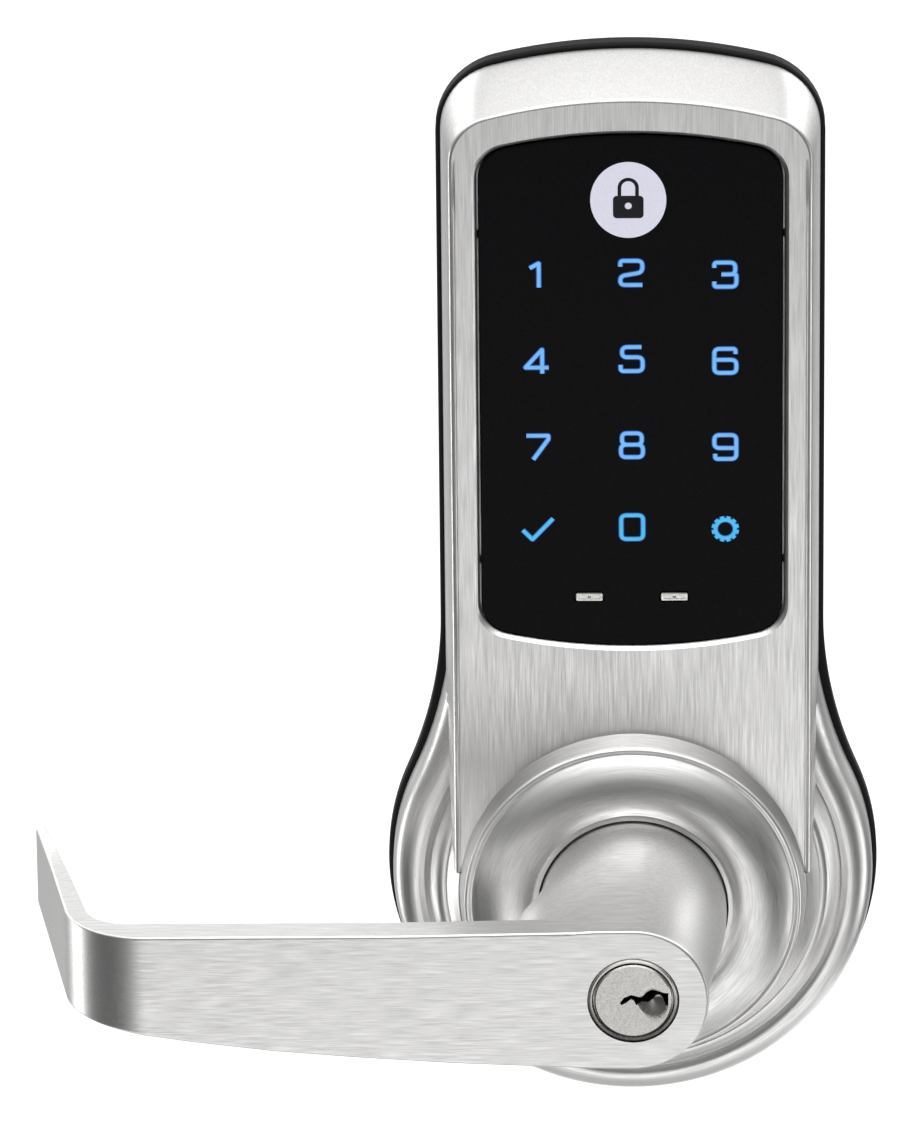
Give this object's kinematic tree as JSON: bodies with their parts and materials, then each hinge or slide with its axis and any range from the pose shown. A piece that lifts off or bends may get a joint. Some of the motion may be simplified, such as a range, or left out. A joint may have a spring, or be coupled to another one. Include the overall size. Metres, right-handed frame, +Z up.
{
  "type": "keypad lever lock",
  "caption": "Outside half of a keypad door lock: touchscreen above a round rose, with a return lever that holds the key cylinder.",
  "frame": {"origin": "where the lever's axis meets the door's outside face", "axes": "+Y into the door, -Y out towards the user, +Z up the door, lever towards -X"},
  "size_m": [0.1527, 0.0862, 0.2017],
  "materials": {
    "rubber": "matt",
    "satin_chrome": "brushed satin",
    "satin_nickel": "satin",
    "nickel": "satin",
    "steel": "plain",
    "zinc_steel": "zinc plated",
    "spring_steel": "plain",
    "bronze": "plain",
    "black_glass": "polished, printed black behind",
    "clear_plastic": "clear",
    "circuit_board": "solder mask",
    "black_plastic": "moulded",
    "white_plastic": "moulded"
  },
  "bodies": {
    "housing": {"back_gasket": "rubber", "mounting_plate": "steel", "front_cover": "satin_chrome", "through_post_left": "zinc_steel", "through_post_right": "zinc_steel", "plate_screw_1": "zinc_steel", "plate_screw_2": "zinc_steel", "plate_screw_3": "zinc_steel", "plate_screw_4": "zinc_steel", "cable_grommet": "rubber", "touch_glass": "black_glass", "glass_seal": "rubber", "light_guide": "clear_plastic", "keypad_board": "circuit_board", "touch_controller": "black_plastic", "radio_module": "black_plastic", "board_connector": "white_plastic", "speaker": "black_plastic", "screen_carrier": "black_plastic", "carrier_screw_1": "zinc_steel", "carrier_screw_2": "zinc_steel", "carrier_screw_3": "zinc_steel", "carrier_screw_4": "zinc_steel", "jump_contact_left": "nickel", "jump_contact_right": "nickel", "sleeve_bushing": "bronze", "spring_cage": "steel", "cage_screw_1": "zinc_steel", "cage_screw_2": "zinc_steel", "return_spring_upper": "spring_steel", "return_spring_lower": "spring_steel"},
    "lever": {"lever": "satin_chrome", "spindle_sleeve": "steel", "spring_driver": "steel", "retaining_ring": "spring_steel", "catch_spring": "spring_steel", "cylinder_shell": "satin_nickel", "pin_chamber_cover": "bronze", "driver_pin_1": "steel", "driver_pin_2": "steel", "driver_pin_3": "steel", "driver_pin_4": "steel", "driver_pin_5": "steel", "driver_pin_6": "steel", "pin_spring_1": "spring_steel", "pin_spring_2": "spring_steel", "pin_spring_3": "spring_steel", "pin_spring_4": "spring_steel", "pin_spring_5": "spring_steel", "pin_spring_6": "spring_steel"},
    "catch": {"lever_catch": "steel"},
    "plug": {"cylinder_plug": "satin_nickel", "plug_clip": "spring_steel", "tailpiece": "steel", "key_pin_1": "bronze", "key_pin_2": "bronze", "key_pin_3": "bronze", "key_pin_4": "bronze", "key_pin_5": "bronze", "key_pin_6": "bronze"}
  },
  "joints": [
    {"name": "lever_turn", "type": "hinge", "parent": "housing", "child": "lever", "pos_m": [0, 0, 0], "axis": [0, -1, 0], "range_deg": [-45, 45], "stiffness_Nm_per_rad": 3, "deforming": ["return_spring_upper", "return_spring_lower"]},
    {"name": "catch_slide", "type": "slide", "parent": "lever", "child": "catch", "axis": [0, 0, 1], "range_m": [0, 0.0024], "stiffness_N_per_m": 300, "springref_m": -0.004, "deforming": ["catch_spring"]},
    {"name": "plug_turn", "type": "hinge", "parent": "lever", "child": "plug", "pos_m": [0, 0, 0], "axis": [0, -1, 0], "range_deg": [-90, 90]}
  ]
}
